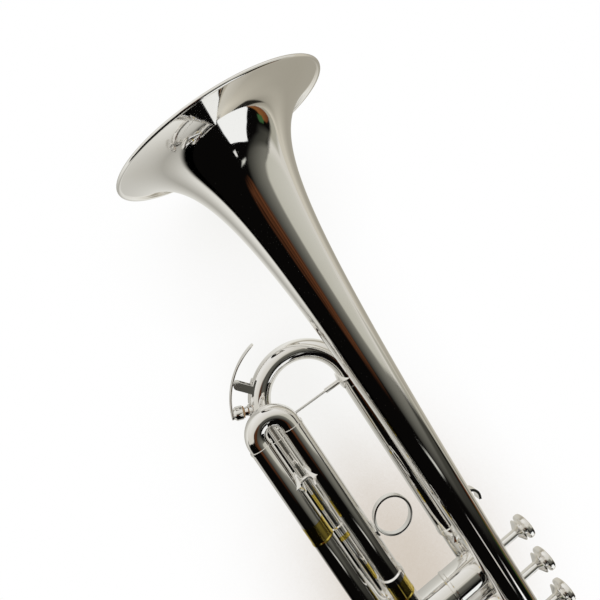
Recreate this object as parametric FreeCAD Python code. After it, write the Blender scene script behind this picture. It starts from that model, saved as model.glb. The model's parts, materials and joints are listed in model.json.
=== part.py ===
import FreeCAD, Part
import math
import os

# B flat trumpet, millimetres. Origin: centre of the mouthpiece receiver's opening.
# +X runs towards the bell, +Y to the player's left, +Z up along the valves.
# The leadpipe lies on the X axis.

V = FreeCAD.Vector
X = V(1, 0, 0)
Y = V(0, 1, 0)
Z = V(0, 0, 1)

# ---- overall ----
overall_length = 484.2
bell_diameter = 122.2
bell_y = 39.4
bell_z = 5.9

# ---- windway ----
bore = 11.66
slide_tube_od = 12.6
slide_clearance = 0.04
outer_tube_od = 13.7
solder = 0.05
touch = 0.3

# ---- bell ----
bell_wall = 0.55
flare_lead = 6.6
flare_power = 0.475
flare_floor = -0.88
bead_radius = 0.95
rim_wire_radius = 0.43
rim_wire_gap = 0.08
rim_curl = 0.35
rim_curl_reach = 0.6
bell_stem_reach = 40.0
bell_stations = 13

# ---- valves ----
valve_spacing = 27.0
valve_2_x = 155.0
valve_y = 18.0
piston_radius = 8.4
piston_clearance = 0.04
piston_wall = 0.6
passage_wall = 0.35
piston_bottom = -86.0
piston_top = -19.5
barrel_radius = 7.9
barrel_wall = 0.6
barrel_top = 10.0
stroke = 17.0
casing_radius = 10.2
baluster_radius = 10.6
casing_bottom = -100.0
casing_top = 8.0
baluster_seam = -23.4
cap_radius = 11.2
cap_skirt = 5.0
key_width = 4.0
key_depth = 0.65
guide_thickness = 2.4
stem_radius = 2.5
button_z = 34.3
button_radius = 7.7
button_flange_radius = 6.8

# ---- port levels ----
crossover_z = -64.0
tail_z = -77.0
tail_y = 32.0
tail_angle = 120.0
slide_port_offset = 3.5
socket_spare = 1.4
insert_clear = 2.6

# ---- tuning slide ----
tuning_z = -59.2
tuning_port_angle = -75.0
tuning_reach = 138.0
tuning_straight = 11.4
tuning_rod_radius = 0.85
tuning_rod_sleeve = 1.75
tuning_ring_reach = 62.4
tuning_ring_length = 3.4
tuning_collar = 6.4
tuning_insert = 27.0
leadpipe_short = 20.0
knuckle_radius = 11.0

# ---- third slide ----
third_upper_z = -48.2
third_lower_z = -69.1
third_reach = 146.3
third_straight = 2.6
third_upper_ring_reach = 21.0
third_lower_ring_reach = 81.0
third_ring_length = 12.4
third_lower_insert = 40.0
third_brace_back = 30.0
finger_ring_reach = 65.2
finger_ring_inner = 11.0
finger_ring_band = 1.5
finger_ring_width = 3.4

# ---- first slide ----
first_upper_z = -44.0
first_lower_z = -68.0
first_ring_reach = 36.0
first_sleeve = 12.6
saddle_inner = 10.5

# ---- second slide ----
second_upper_z = -50.0
second_lower_z = -72.0
second_ring_reach = 24.0
second_gap = 0.4

# ---- braces, hook ----
front_brace_clear = 3.8
rear_brace_clear = 12.2
brace_rod_radius = 1.9
foot_length = 9.0
foot_width = 9.0
foot_thickness = 0.9
foot_peak = 2.0
hook_foot_back = 2.0
hook_thickness = 1.8
hook_width = 6.0
hook_lift = 2.4
hook_forward = 20.5
hook_height = 22.7

# ---- water key ----
key_hinge_angle = 46.0
key_hinge_out = 8.2
key_nipple_angle = 68.5
lever_out = 11.3
lever_thickness = 1.4
lever_tip_angle = 17.0
lever_tail_angle = 72.5
saddle_length = 15.0
saddle_shift = 2.2

rim_edge = bell_wall
valve_x = [valve_2_x - valve_spacing, valve_2_x, valve_2_x + valve_spacing]
bell_stem_end = valve_x[0] - bell_stem_reach
front_brace_x = valve_x[2] + casing_radius + front_brace_clear
rear_brace_x = valve_x[0] - casing_radius - rear_brace_clear
hook_foot_x = front_brace_x - hook_foot_back
upper_leg_rear = front_brace_x + foot_length / 2 + 1.3
tuning_joint = valve_x[2] + tuning_reach
tuning_ring_x = valve_x[2] + tuning_ring_reach
leadpipe_end = tuning_joint - leadpipe_short
third_joint = valve_x[2] + third_reach
third_upper_ring_x = valve_x[2] + third_upper_ring_reach
third_lower_ring_x = valve_x[2] + third_lower_ring_reach
third_upper_insert = third_upper_ring_reach - casing_radius - insert_clear
third_brace_x = third_joint - third_brace_back
finger_ring_x = valve_x[2] + finger_ring_reach
first_ring_x = valve_x[0] - first_ring_reach
first_insert = first_ring_reach - casing_radius - insert_clear
second_ring_y = valve_y - second_ring_reach
second_insert = second_ring_reach - casing_radius - insert_clear
bore_radius = bore / 2
slide_radius = slide_tube_od / 2
fit_radius = slide_radius + slide_clearance
tube_radius = outer_tube_od / 2
bow_radius = tube_radius - 0.25
joint_ring_width = 1.3
joint_lap = 0.7
short_ring_length = 3.4
first_joint = first_ring_x - short_ring_length - first_sleeve
second_joint = second_ring_y - short_ring_length - second_gap
ring_radius = tube_radius + 0.35


def save(name, shape):
    shape.exportStep("parts/" + name + ".step")


def group(shapes):
    return Part.makeCompound(shapes)


def fuse(shapes):
    whole = shapes[0]
    if len(shapes) > 1:
        whole = whole.multiFuse(shapes[1:])
    return whole.removeSplitter()


def cylinder(base, direction, radius, height):
    return Part.makeCylinder(radius, height, base, direction)


def tube(base, direction, outer, inner, height):
    return cylinder(base, direction, outer, height).cut(cylinder(base, direction, inner, height))


# A solid of revolution: profile points are (radius, height along the axis).
def lathe(profile, base, axis):
    corners = [V(radius, 0, height) for radius, height in profile]
    face = Part.Face(Part.makePolygon(corners + [corners[0]]))
    solid = face.revolve(V(0, 0, 0), Z, 360)
    turn = FreeCAD.Rotation(Z, axis)
    solid.Placement = FreeCAD.Placement(base, turn)
    return solid


def disc(centre, normal, radius):
    return Part.Face(Part.Wire(Part.makeCircle(radius, centre, normal)))


# A flat bar's section: thickness across, width along Y.
def bar_section(thickness, width):
    def section(centre, normal):
        across = normal.cross(Y) * (thickness / 2)
        side = Y * (width / 2)
        corners = [centre + across + side, centre - across + side]
        corners += [centre - across - side, centre + across - side]
        return Part.Face(Part.makePolygon(corners + [corners[0]]))
    return section


def round_section(radius):
    return lambda centre, normal: disc(centre, normal, radius)


# A section carried along straight runs that are joined by tangent arcs.
def bent(section, path, bends):
    pieces = []
    start = path[0]
    for index, bend in enumerate(bends):
        into = (path[index + 1] - path[index]).normalize()
        out = (path[index + 2] - path[index + 1]).normalize()
        turn = into.getAngle(out)
        reach = bend * math.tan(turn / 2)
        arc_start = path[index + 1] - into * reach
        axis = into.cross(out).normalize()
        centre = arc_start + axis.cross(into) * bend
        if (arc_start - start).Length > 0.01:
            pieces.append(section(start, into).extrude(arc_start - start))
        pieces.append(section(arc_start, into).revolve(centre, axis, math.degrees(turn)))
        start = path[index + 1] + out * reach
    last = path[-1] - start
    if last.Length > 0.01:
        pieces.append(section(start, V(last).normalize()).extrude(last))
    return fuse(pieces)


def pipe(path, bends, outer, inner):
    return bent(round_section(outer), path, bends).cut(bent(round_section(inner), path, bends))


# A slide's end bow: two short straights and a half circle, in the plane of the two legs.
def bow_core(leg_a, leg_b, outward, straight, radius):
    reach = (leg_b - leg_a).Length / 2
    far = outward * (straight + reach)
    path = [leg_a, leg_a + far, leg_b + far, leg_b]
    return bent(round_section(radius), path, [reach, reach])


def bow(leg_a, leg_b, outward, straight, outer, inner):
    shell = bow_core(leg_a, leg_b, outward, straight, outer)
    return shell.cut(bow_core(leg_a, leg_b, outward, straight, inner))


# A coil of square wire about Z, standing on the origin.
def coil(radius, wire, pitch, turns):
    helix = Part.makeHelix(pitch, pitch * turns, radius)
    half = wire / 2
    corners = [V(radius - half, 0, -half), V(radius + half, 0, -half)]
    corners += [V(radius + half, 0, half), V(radius - half, 0, half)]
    section = Part.Wire(Part.makePolygon(corners + [corners[0]]))
    spring = Part.Wire(helix).makePipeShell([section], True, True)
    spring.translate(V(0, 0, half + 0.02))
    return spring


def valve_axis(index, z):
    return V(valve_x[index], valve_y, z)


def heading(angle):
    return V(math.cos(math.radians(angle)), math.sin(math.radians(angle)), 0)


def casing_solid(index, radius):
    return cylinder(valve_axis(index, casing_bottom), Z, radius, casing_top - casing_bottom)


def trim(shape, index):
    return shape.cut(casing_solid(index, casing_radius + solder))


# ---- bell ----

# The last millimetre before the rim turns out flatter, into the bead.
def flare_radius(depth):
    scale = (bell_diameter / 2 - flare_floor) * flare_lead ** flare_power
    curl = rim_curl * math.exp(-(depth - rim_edge) / rim_curl_reach)
    return flare_floor + scale / (depth - curl + flare_lead) ** flare_power


def flare_depths():
    stem = overall_length - bell_stem_end
    ratio = 1 + stem / flare_lead
    steps = [flare_lead * (ratio ** (i / (bell_stations - 1)) - 1) for i in range(1, bell_stations)]
    return [rim_edge, rim_edge + 0.8] + steps


def flare_curve(inset):
    points = []
    for depth in flare_depths():
        slope = (flare_radius(depth + 0.01) - flare_radius(depth)) / 0.01
        unit = math.hypot(1, slope)
        deep = depth + slope / unit * inset
        points.append(V(overall_length - deep, 0, flare_radius(depth) - inset / unit))
    curve = Part.BSplineCurve()
    curve.interpolate(points)
    return curve.toShape(), points


def make_bell():
    outer, outer_points = flare_curve(0)
    inner, inner_points = flare_curve(bell_wall)
    rim = Part.makeLine(outer_points[0], inner_points[0])
    tail = Part.makeLine(outer_points[-1], inner_points[-1])
    sheet = Part.Face(Part.Wire(Part.__sortEdges__([outer, rim, inner, tail]))).revolve(V(0, 0, 0), X, 360)
    bead = rim_ring(bead_radius).cut(rim_ring(rim_wire_radius + rim_wire_gap))
    bell = sheet.cut(rim_ring(rim_wire_radius + rim_wire_gap)).fuse(bead).removeSplitter()
    bell.translate(V(0, bell_y, bell_z))
    return bell


# The rim's edge is rolled back round a wire.
def rim_ring(radius):
    centre = V(overall_length - bead_radius, 0, 0)
    return Part.makeTorus(bell_diameter / 2 - bead_radius, radius, centre, X)


def make_rim_wire():
    wire = rim_ring(rim_wire_radius)
    wire.translate(V(0, bell_y, bell_z))
    return wire


def bow_section(turn, radius):
    top = V(bell_stem_end, bell_y, bell_z)
    bottom = V(bell_stem_end, tail_y, tail_z)
    middle = (top + bottom) * 0.5
    up = top - middle
    centre = middle + up * math.cos(turn) - X * (up.Length * math.sin(turn))
    along = up.normalize() * -math.sin(turn) - X * math.cos(turn)
    return Part.Wire(Part.makeCircle(radius, centre, along))


def make_bell_bow():
    start = flare_radius(overall_length - bell_stem_end)
    steps = 8
    outers = []
    inners = []
    for i in range(steps + 1):
        radius = start + (tube_radius - start) * i / steps
        outers.append(bow_section(math.pi * i / steps, radius))
        inners.append(bow_section(math.pi * i / steps, radius - bell_wall))
    return Part.makeLoft(outers, True).cut(Part.makeLoft(inners, True))


def ferrule(base, direction, tube_outer, length):
    inner = tube_outer + solder
    wall = inner + 0.5
    bead = inner + 0.9
    profile = [(inner, 0), (bead, 0), (bead, 1.2), (wall, 1.6), (wall, length - 1.6)]
    profile += [(bead, length - 1.2), (bead, length), (inner, length)]
    return lathe(profile, base, direction)


def make_bell_bow_ferrules():
    length = 12.0
    stem = flare_radius(overall_length - bell_stem_end - length)
    front = ferrule(V(bell_stem_end, bell_y, bell_z), X, stem, length)
    rear = ferrule(V(bell_stem_end, tail_y, tail_z), X, tube_radius, length)
    return group([front, rear])


def make_bell_tail():
    out = heading(tail_angle)
    reach = (tail_y - valve_y) / out.y
    corner = valve_axis(0, tail_z) + out * reach
    path = [V(bell_stem_end, tail_y, tail_z), corner, valve_axis(0, tail_z) + out * (casing_radius - 2)]
    return trim(pipe(path, [9.5], tube_radius, bore_radius), 0)


# ---- leadpipe and receiver ----

def make_leadpipe():
    profile = [(4.4, 26), (5.2, 26), (5.9, 110), (slide_radius, 188), (slide_radius, leadpipe_end)]
    profile += [(bore_radius, leadpipe_end), (bore_radius, 250), (4.6, 70)]
    return lathe(profile, V(0, 0, 0), X)


def make_receiver():
    socket = 4.95
    profile = [(socket, 0), (7.4, 0), (7.4, 2.6), (6.6, 3.4), (6.4, 14), (7.1, 14.6), (7.1, 16), (6.4, 16.6)]
    profile += [(6.2, 33), (6.7, 33.6), (6.7, 35.4), (6.1, 36), (5.4, 36), (5.25, 25.9), (socket, 25.9)]
    return lathe(profile, V(0, 0, 0), X)


# ---- valves ----

slide_ports = {
    0: (-X, V(0, -slide_port_offset, 0), first_upper_z, first_lower_z),
    1: (-Y, V(0, 0, 0), second_upper_z, second_lower_z),
    2: (X, V(0, slide_port_offset, 0), third_upper_z, third_lower_z),
}


# Ports as (point on the piston's wall, outward direction), relative to the valve's axis.
def wall_point(direction, offset):
    reach = math.sqrt(piston_radius ** 2 - offset.Length ** 2)
    return direction * reach + offset


def valve_ports(index):
    direction, offset, upper, lower = slide_ports[index]
    slide = wall_point(direction, offset)
    if index == 0:
        inlet = (X, wall_point(X, V(0, 0, 0)), crossover_z)
        outlet = (heading(tail_angle), wall_point(heading(tail_angle), V(0, 0, 0)), tail_z)
    elif index == 1:
        inlet = (X, wall_point(X, V(0, 0, 0)), crossover_z)
        outlet = (-X, wall_point(-X, V(0, 0, 0)), crossover_z)
    else:
        inlet = (heading(tuning_port_angle), wall_point(heading(tuning_port_angle), V(0, 0, 0)), tuning_z)
        outlet = (-X, wall_point(-X, V(0, 0, 0)), crossover_z)
    return inlet, outlet, (direction, slide, upper), (direction, slide, lower)


def make_casing(index):
    inner = piston_radius + piston_clearance
    groove = 0.35
    profile = [(inner, casing_bottom), (casing_radius, casing_bottom), (casing_radius, baluster_seam - 0.8)]
    profile += [(casing_radius - groove, baluster_seam - 0.4), (baluster_radius + 0.3, baluster_seam)]
    profile += [(baluster_radius + 0.3, baluster_seam + 1.6), (baluster_radius, baluster_seam + 2.2)]
    shoulder = casing_top - cap_skirt - 0.1
    profile += [(baluster_radius, shoulder), (casing_radius, shoulder)]
    profile += [(casing_radius, casing_top), (inner, casing_top)]
    casing = lathe(profile, valve_axis(index, 0), Z)
    for direction, point, level in valve_ports(index):
        start = valve_axis(index, level) + point - direction * 3
        casing = casing.cut(cylinder(start, direction, bore_radius, 12))
    width = key_width + 2 * slide_clearance
    depth = inner + key_depth
    keyway_bottom = piston_top + touch
    keyway = Part.makeBox(width, 2 * depth, casing_top - keyway_bottom + 1)
    keyway.translate(valve_axis(index, keyway_bottom) - V(width / 2, depth, 0))
    return casing.cut(keyway)


def make_piston(index):
    inlet, outlet, upper, lower = valve_ports(index)
    rise = Z * stroke
    passages = [(inlet, outlet, V(0, 0, 0)), (inlet, upper, rise), (lower, outlet, rise)]
    height = piston_top - piston_bottom
    whole = cylinder(valve_axis(index, piston_bottom), Z, piston_radius, height)
    hollow = cylinder(valve_axis(index, piston_bottom + 1), Z, piston_radius - piston_wall, height - 2.5)
    linings = []
    bores = []
    for start, end, lift in passages:
        a = valve_axis(index, start[2]) + start[1] + lift
        b = valve_axis(index, end[2]) + end[1] + lift
        along = (b - a).normalize()
        length = (b - a).Length + 8
        linings.append(cylinder(a - along * 4, along, bore_radius + passage_wall, length))
        bores.append(cylinder(a - along * 4, along, bore_radius, length))
    lining = fuse(linings).common(whole)
    body = whole.cut(hollow).fuse(lining)
    body = body.cut(fuse(bores))
    vent = cylinder(valve_axis(index, piston_bottom - 1), Z, 3.0, 3)
    body = body.cut(vent)
    return fuse([body, make_barrel(index)])


def make_barrel(index):
    inner = barrel_radius - barrel_wall
    top_plate = 1.5
    profile = [(0, barrel_top), (barrel_radius, barrel_top), (barrel_radius, piston_top - 0.5)]
    profile += [(inner, piston_top - 0.5), (inner, barrel_top - top_plate), (0, barrel_top - top_plate)]
    barrel = lathe(profile, valve_axis(index, 0), Z)
    width = key_width + 0.6
    slot_top = piston_top + touch + guide_thickness + stroke + touch
    slot = Part.makeBox(width, 2 * barrel_radius + 2, slot_top - piston_top)
    slot.translate(valve_axis(index, piston_top) - V(width / 2, barrel_radius + 1, 0))
    return barrel.cut(slot)


def make_guide(index):
    plate_radius = barrel_radius - barrel_wall - 0.2
    base = piston_top + touch
    plate = cylinder(valve_axis(index, base), Z, plate_radius, guide_thickness)
    reach = piston_radius + piston_clearance + key_depth - slide_clearance
    ears = Part.makeBox(key_width, 2 * reach, guide_thickness)
    ears.translate(valve_axis(index, base) - V(key_width / 2, reach, 0))
    return fuse([plate, ears])


def make_spring(index):
    bottom = piston_top + touch + guide_thickness + 0.1
    top = barrel_top - 1.5 - 0.1
    turns = 5
    wire = 0.9
    radius = barrel_radius - barrel_wall - 1.1
    spring = coil(radius, wire, (top - bottom - 1.05 * wire) / turns, turns)
    spring.translate(valve_axis(index, bottom))
    return spring


def make_stem(index):
    flange = 1.0
    profile = [(0, barrel_top), (5.5, barrel_top)]
    profile += [(5.5, barrel_top + flange), (stem_radius, barrel_top + flange)]
    profile += [(stem_radius, button_z - 2.2), (0, button_z - 2.2)]
    return lathe(profile, valve_axis(index, 0), Z)


def make_button(index):
    pearl_seat = button_z + 6.6
    flange = button_flange_radius
    profile = [(0, button_z - 2.2), (3.0, button_z - 2.2)]
    profile += [(4.2, button_z - 1.3), (flange - 0.3, button_z + 0.2)]
    profile += [(flange, button_z + 0.6), (flange - 0.2, button_z + 1.2), (4.9, button_z + 1.8)]
    profile += [(4.4, button_z + 2.3), (4.9, button_z + 2.9), (button_radius - 0.4, button_z + 3.4)]
    profile += [(button_radius, button_z + 4.0), (button_radius, button_z + 5.8)]
    profile += [(7.3, button_z + 7.0), (6.4, button_z + 7.6), (6.1, button_z + 7.6)]
    profile += [(6.1, pearl_seat), (0, pearl_seat)]
    return lathe(profile, valve_axis(index, 0), Z)


def make_pearl(index):
    seat = button_z + 6.6
    profile = [(0, seat), (6.05, seat), (6.05, seat + 0.9), (5.0, seat + 1.2), (0, seat + 1.2)]
    return lathe(profile, valve_axis(index, 0), Z)


def make_top_cap(index):
    ceiling = barrel_top + 3.4
    roof = ceiling + 1.5
    skirt_inner = casing_radius + solder
    hole = stem_radius + 0.3
    profile = [(skirt_inner, casing_top - cap_skirt), (cap_radius, casing_top - cap_skirt)]
    profile += [(cap_radius, roof - 1.6), (cap_radius - 1.2, roof - 0.4), (7.0, roof), (hole, roof)]
    profile += [(hole, ceiling), (8.7, ceiling), (8.7, casing_top + 0.05), (skirt_inner, casing_top + 0.05)]
    return lathe(profile, valve_axis(index, 0), Z)


def make_cap_felt(index):
    ceiling = barrel_top + 3.4
    top = ceiling - 0.02
    return tube(valve_axis(index, top - 2.0), Z, 6.5, stem_radius + 0.3, 2.0)


def make_bottom_cap(index):
    floor = piston_bottom - stroke - 1.2
    base = floor - 1.5
    skirt_inner = casing_radius + solder
    profile = [(skirt_inner, casing_bottom + cap_skirt), (cap_radius, casing_bottom + cap_skirt)]
    profile += [(cap_radius, base + 1.2), (cap_radius - 1.0, base)]
    profile += [(4.2, base), (3.6, base - 1.6), (2.4, base - 1.6)]
    profile += [(2.4, floor), (8.7, floor), (8.7, casing_bottom - 0.05), (skirt_inner, casing_bottom - 0.05)]
    return lathe(profile, valve_axis(index, 0), Z)


def make_crossover(rear):
    start = valve_axis(rear, crossover_z)
    link = tube(start, X, tube_radius, bore_radius, valve_spacing)
    return trim(trim(link, rear), rear + 1)


# ---- slide parts ----

def end_ring(base, direction, length, outer, lip):
    profile = [(fit_radius, 0), (lip, 0), (lip, 0.8), (outer, 1.6), (outer, length), (fit_radius, length)]
    return lathe(profile, base, direction)


def leg(joint, ring_start, insert):
    along = (joint - ring_start).normalize()
    start = ring_start - along * insert
    return tube(start, along, slide_radius, bore_radius, (joint - start).Length)


# The outer end of a moving leg: a collar by the end ring, and a narrow raised ring at the bow.
def sleeve(joint, ring_end, collar, collar_radius, inner, joint_radius=ring_radius):
    along = (joint - ring_end).normalize()
    start = ring_end + along * 0.1
    length = (joint - start).Length + joint_lap
    profile = [(inner, 0), (collar_radius, 0), (collar_radius, collar - 0.8), (tube_radius, collar)]
    if collar == 0:
        profile = [(inner, 0), (tube_radius, 0)]
    edge = length - joint_ring_width
    if joint_radius > tube_radius:
        profile += [(tube_radius, edge), (joint_radius, edge)]
    profile += [(joint_radius, length), (bow_radius + solder, length)]
    profile += [(bow_radius + solder, length - joint_lap), (inner, length - joint_lap)]
    return lathe(profile, start, along)


# A blunt diamond foot that wraps a tube along X; toward points from the tube's axis to the rod.
# Its thickness rises from the two ends to a ridge across the tube.
def diamond_foot(centre, toward, radius, length, width, peak=foot_thickness):
    inner = radius + solder
    half = length / 2
    edge = inner + foot_thickness
    shell = lathe([(inner, -half), (edge, -half), (inner + peak, 0), (edge, half), (inner, half)], centre, X)
    side = toward.cross(X) * (width / 2)
    blunt = side * 0.35
    corners = [centre + X * half + blunt, centre + side, centre - X * half + blunt]
    corners += [centre - X * half - blunt, centre - side, centre + X * half - blunt]
    prism = Part.Face(Part.makePolygon(corners + [corners[0]])).extrude(toward * (inner + peak + 1))
    return shell.common(prism)


def brace(point_a, radius_a, point_b, radius_b, length, width, rod, collar=0):
    toward = (point_b - point_a).normalize()
    start = point_a + toward * (radius_a + solder + foot_thickness * 0.5)
    end = point_b - toward * (radius_b + solder + foot_thickness * 0.5)
    span = (end - start).Length
    neck = rod * 1.45
    profile = [(0, 0), (neck, 0), (neck, foot_thickness * 0.8), (rod, foot_thickness * 2)]
    profile += [(rod, span - foot_thickness * 2 - collar)]
    if collar > 0:
        profile += [(tuning_rod_sleeve, span - foot_thickness * 2 - collar)]
        profile += [(tuning_rod_sleeve, span), (0, span)]
    else:
        profile += [(neck, span - foot_thickness * 0.8), (neck, span), (0, span)]
    bar = lathe(profile, start, toward)
    foot_a = diamond_foot(point_a, toward, radius_a, length, width, foot_peak)
    foot_b = diamond_foot(point_b, -toward, radius_b, length, width, foot_peak)
    return fuse([bar, foot_a, foot_b])


# ---- tuning slide ----

def make_tuning_outer():
    out = heading(tuning_port_angle)
    centre = valve_axis(2, tuning_z)
    corner = centre + out * (-valve_y / out.y)
    path = [centre + out * (casing_radius - 2), corner, V(tuning_ring_x, 0, tuning_z)]
    outer = bent(round_section(tube_radius), path, [knuckle_radius])
    windway = bent(round_section(bore_radius), path, [knuckle_radius])
    depth = tuning_insert + socket_spare
    socket = cylinder(V(tuning_ring_x - depth, 0, tuning_z), X, fit_radius, depth)
    return trim(outer.cut(windway).cut(socket), 2)


tuning_ring_end = V(tuning_ring_x + tuning_ring_length, 0, tuning_z)
tuning_low = V(tuning_joint, 0, tuning_z)
tuning_high = V(tuning_joint, 0, 0)
tuning_bow_radius = -tuning_z / 2
tuning_centre = V(tuning_joint + tuning_straight, 0, tuning_z / 2)


# A point off the tuning bow: distance from the bow's centre, angle down from +X.
def off_bow(distance, angle):
    turn = math.radians(angle)
    return tuning_centre + V(math.cos(turn) * distance, 0, -math.sin(turn) * distance)


def bow_outward(angle):
    return (off_bow(1, angle) - tuning_centre).normalize()


def make_tuning_bow():
    shape = bow(tuning_low, tuning_high, X, tuning_straight, bow_radius, bore_radius)
    hole = cylinder(off_bow(tuning_bow_radius, key_nipple_angle), bow_outward(key_nipple_angle), 1.8, 10)
    return shape.cut(hole)


def make_tuning_brace():
    x = tuning_joint + 6.8
    return brace(V(x, 0, tuning_z), bow_radius, V(x, 0, 0), bow_radius, 10.5, 13.0, tuning_rod_radius, 9.5)


bow_outer = tuning_bow_radius + bow_radius
hinge_distance = bow_outer + key_hinge_out
lever_distance = bow_outer + lever_out
nipple_top = bow_outer + 3.8


def make_nipple():
    start = off_bow(tuning_bow_radius, key_nipple_angle)
    outward = bow_outward(key_nipple_angle)
    height = nipple_top - tuning_bow_radius
    profile = [(1.8, 0), (3.9, 0), (3.9, bow_radius + 0.9)]
    profile += [(3.1, bow_radius + 1.6), (2.6, height), (1.8, height)]
    spout = lathe(profile, start, outward)
    return spout.cut(bow_core(tuning_low, tuning_high, X, tuning_straight, bow_radius + solder))


def make_saddle():
    hinge = off_bow(hinge_distance, key_hinge_angle)
    outward = bow_outward(key_hinge_angle)
    along = outward.cross(Y)
    ears = []
    for side in (-1, 1):
        base = off_bow(bow_outer - 2.2, key_hinge_angle + 2)
        corners = [base + along * 2.4, hinge + along * 2.4, hinge - along * 2.4, base - along * 2.4]
        plate = Part.Face(Part.makePolygon(corners + [corners[0]])).extrude(Y * 1.5)
        tip = cylinder(hinge, Y, 2.4, 1.5)
        ear = fuse([plate, tip])
        ear.translate(Y * (3.5 if side > 0 else -5.0))
        ears.append(ear)
    shell = bow(tuning_low, tuning_high, X, tuning_straight, bow_radius + solder + 0.9, bow_radius + solder)
    middle = off_bow(tuning_bow_radius, key_hinge_angle)
    window = Part.makeBox(saddle_length, 10.0, 12.0)
    window.Placement = FreeCAD.Placement(V(0, 0, 0), FreeCAD.Rotation(-along, Y, outward, "XYZ"))
    window.translate(middle - window.CenterOfMass + outward * 8.0 - along * saddle_shift)
    base_plate = shell.common(window)
    clear = bow_core(tuning_low, tuning_high, X, tuning_straight, bow_radius + solder)
    hole = cylinder(hinge - Y * 8, Y, 1.05, 16)
    return fuse(ears + [base_plate]).cut(clear).cut(hole)


def make_hinge_screw():
    hinge = off_bow(hinge_distance, key_hinge_angle)
    head = cylinder(hinge + Y * 5.05, Y, 1.9, 0.9)
    shaft = cylinder(hinge - Y * 5.4, Y, 1.0, 10.6)
    slot = Part.makeBox(4.4, 0.5, 0.5)
    slot.translate(hinge + V(-2.2, 5.5, -0.25))
    return fuse([head, shaft]).cut(slot)


def make_key_spring():
    hinge = off_bow(hinge_distance, key_hinge_angle)
    wire = 0.5
    coil_radius = 1.5
    outward = bow_outward(key_hinge_angle)
    along = Y.cross(outward)
    pitch = 0.55
    spring = coil(coil_radius, wire, pitch, 3)
    leg_down = Part.makeBox(key_hinge_out - 1.2, wire, wire)
    leg_down.translate(V(0, coil_radius - wire / 2, 0.02))
    leg_up = Part.makeBox(1.75, wire, wire)
    leg_up.translate(V(-1.75, coil_radius - wire / 2, 3 * pitch + 0.02))
    spring = fuse([spring, leg_down, leg_up])
    spring.Placement = FreeCAD.Placement(hinge + Y * 0.3, FreeCAD.Rotation(-outward, along, Y, "ZXY"))
    return spring


def make_lever():
    hinge = off_bow(hinge_distance, key_hinge_angle)
    corner = off_bow(lever_distance, key_hinge_angle)
    start = off_bow(lever_distance, lever_tip_angle)
    tangent = bow_outward(lever_tip_angle).cross(Y) * -1
    span = math.radians(lever_tail_angle - lever_tip_angle)
    section = bar_section(lever_thickness, 5.0)(start, tangent)
    strap = section.revolve(tuning_centre, Y, math.degrees(span))
    paddle_bar = bar_section(lever_thickness, 8.0)(start, tangent)
    paddle = paddle_bar.revolve(tuning_centre, Y, 14)
    tip = cylinder(start - bow_outward(lever_tip_angle) * (lever_thickness / 2),
                   bow_outward(lever_tip_angle), 4.0, lever_thickness)
    barrel = cylinder(hinge - Y * 3.3, Y, 2.3, 3.5)
    lug = Part.makeBox(3.2, 3.5, 3.0)
    lug.Placement = FreeCAD.Placement(V(0, 0, 0), FreeCAD.Rotation(Z, bow_outward(key_hinge_angle)))
    lug.translate((hinge + corner) * 0.5 - Y * 1.55 - lug.CenterOfMass)
    outward = bow_outward(key_nipple_angle)
    rim = nipple_top + 1.0
    depth = lever_distance - rim
    profile = [(3.65, 0), (4.3, 0), (4.3, depth), (0, depth), (0, 2.0), (3.65, 2.0)]
    cup = lathe(profile, off_bow(rim, key_nipple_angle), outward)
    pin_hole = cylinder(hinge - Y * 5, Y, 1.05, 10)
    return fuse([strap, paddle, tip, barrel, lug, cup]).cut(pin_hole)


def make_cork():
    outward = bow_outward(key_nipple_angle)
    low = nipple_top + 0.12
    high = nipple_top + 2.98
    return cylinder(off_bow(low, key_nipple_angle), outward, 3.6, high - low)


# ---- third slide ----

third_y = valve_y + slide_port_offset
third_high = V(third_joint, third_y, third_upper_z)
third_low = V(third_joint, third_y, third_lower_z)
third_legs = [
    (third_high, V(third_upper_ring_x, third_y, third_upper_z)),
    (third_low, V(third_lower_ring_x, third_y, third_lower_z)),
]


def slide_outer(index, ring_start, insert):
    direction, offset, upper, lower = slide_ports[index]
    socket = insert + socket_spare
    start = valve_axis(index, 0) + offset
    base = V(start.x, start.y, ring_start.z)
    length = (ring_start - base).Length
    body = tube(base, direction, tube_radius, bore_radius, length)
    body = body.cut(cylinder(ring_start - direction * socket, direction, fit_radius, socket))
    return trim(body, index)


def make_finger_ring():
    outer = finger_ring_inner + finger_ring_band
    top = third_upper_z + tube_radius + solder
    centre = V(finger_ring_x, third_y, top + 1.0 + outer)
    band = tube(centre - Y * (finger_ring_width / 2), Y, outer, finger_ring_inner, finger_ring_width)
    edges = [edge for edge in band.Edges if abs(edge.Length - 2 * math.pi * outer) < 1]
    band = band.makeFillet(0.5, edges)
    foot = diamond_foot(V(finger_ring_x, third_y, third_upper_z), Z, tube_radius, 10.0, 7.0)
    post = Part.makeBox(5.0, finger_ring_width - 0.6, 2.4)
    post.translate(V(finger_ring_x - 2.5, third_y - finger_ring_width / 2 + 0.3, top + 0.4))
    hole = cylinder(centre - Y * 5, Y, finger_ring_inner, 10)
    return fuse([band, foot, post.cut(hole)])


# ---- first slide ----

first_y = valve_y - slide_port_offset
first_high = V(first_joint, first_y, first_upper_z)
first_low = V(first_joint, first_y, first_lower_z)
first_legs = [
    (first_high, V(first_ring_x, first_y, first_upper_z)),
    (first_low, V(first_ring_x, first_y, first_lower_z)),
]


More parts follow.
